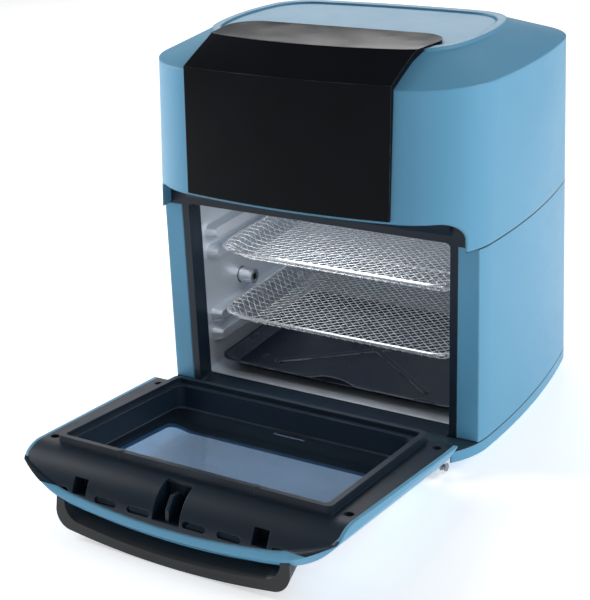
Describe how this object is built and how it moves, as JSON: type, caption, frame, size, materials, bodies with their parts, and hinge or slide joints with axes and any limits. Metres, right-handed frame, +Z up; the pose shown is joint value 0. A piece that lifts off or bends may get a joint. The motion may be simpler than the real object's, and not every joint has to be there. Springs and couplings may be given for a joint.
{
  "type": "rotisserie oven",
  "caption": "Countertop air-fryer and rotisserie oven with a drop-down glazed door, sliding mesh trays, drip tray, spit drive and fan.",
  "frame": {"origin": "on the table, under the middle of the body (the open door reaches forward of it)", "axes": "+Z up, -Y towards the user and the door, +X to the right as seen by the oven's user facing the door"},
  "size_m": [0.3402, 0.525, 0.37],
  "materials": {
    "blue_shell": "satin moulded plastic",
    "black_glass": "high gloss",
    "black_plastic": "fine satin texture",
    "grey_plastic": "satin",
    "clear_glass": "clear tempered glass",
    "steel_liner": "satin sheet steel",
    "heater_steel": "dark oxidised",
    "motor_steel": "lacquered steel",
    "bright_metal": "bright plated",
    "aluminium_parts": "satin",
    "chrome_wire": "bright chrome",
    "nonstick": "dark non-stick coating",
    "circuit_board": "green laminate",
    "rubber_feet": "matte",
    "silicone": "matte"
  },
  "bodies": {
    "housing": {"base_pan": "blue_shell", "base_screws": "bright_metal", "cavity_liner": "steel_liner", "control_board": "circuit_board", "control_glass": "black_glass", "door_switch": "black_plastic", "exhaust_duct": "steel_liner", "fan_guard": "steel_liner", "fan_motor": "motor_steel", "feet": "rubber_feet", "front_frame": "black_plastic", "glass_carrier": "black_plastic", "heat_shield": "steel_liner", "heater_brackets": "steel_liner", "heater_coil": "heater_steel", "hinge_lugs": "black_plastic", "hinge_pins": "bright_metal", "hinge_springs": "bright_metal", "inlet_gland": "black_plastic", "lower_shell": "blue_shell", "motor_plate": "steel_liner", "power_board": "circuit_board", "rear_cover": "blue_shell", "rotisserie_gearmotor": "motor_steel", "spit_support": "bright_metal", "switch_spring": "bright_metal", "temperature_probe": "bright_metal", "thermal_cutout": "bright_metal", "top_lid": "blue_shell", "upper_shell": "blue_shell"},
    "fan": {"hot_fan": "aluminium_parts", "cooling_fan": "black_plastic", "motor_shaft": "motor_steel"},
    "rotisserie_drive": {"drive_socket": "bright_metal"},
    "upper_tray": {"upper_tray_rim": "chrome_wire", "upper_tray_mesh": "chrome_wire"},
    "lower_tray": {"lower_tray_rim": "chrome_wire", "lower_tray_mesh": "chrome_wire"},
    "drip_tray": {"drip_tray": "nonstick"},
    "plunger": {"switch_plunger": "black_plastic"},
    "door": {"door_shell": "blue_shell", "door_liner": "black_plastic", "outer_glass": "clear_glass", "inner_glass": "clear_glass", "glass_seal": "silicone", "glass_clips": "bright_metal", "handle_scoop": "black_plastic", "handle_cover": "grey_plastic", "hinge_arms": "bright_metal", "door_screws": "bright_metal"}
  },
  "joints": [
    {"name": "door_hinge", "type": "hinge", "parent": "housing", "child": "door", "pos_m": [0, -0.1375, 0.0112], "axis": [1, 0, 0], "range_deg": [-82.5, 0]},
    {"name": "upper_tray_slide", "type": "slide", "parent": "housing", "child": "upper_tray", "axis": [0, -1, 0], "range_m": [0, 0.19]},
    {"name": "lower_tray_slide", "type": "slide", "parent": "housing", "child": "lower_tray", "axis": [0, -1, 0], "range_m": [0, 0.17]},
    {"name": "drip_tray_slide", "type": "slide", "parent": "housing", "child": "drip_tray", "axis": [0, -1, 0], "range_m": [0, 0.04]},
    {"name": "fan_spin", "type": "hinge", "parent": "housing", "child": "fan", "pos_m": [0, 0.014, 0.28], "axis": [0, 0, 1], "continuous": true},
    {"name": "rotisserie_spin", "type": "hinge", "parent": "housing", "child": "rotisserie_drive", "pos_m": [-0.135, -0.0155, 0.1035], "axis": [1, 0, 0], "continuous": true},
    {"name": "switch_travel", "type": "slide", "parent": "housing", "child": "plunger", "axis": [0, -1, 0], "range_m": [-0.003, 0], "stiffness_N_per_m": 120, "springref_m": 0.001, "deforming": ["switch_spring"]}
  ]
}
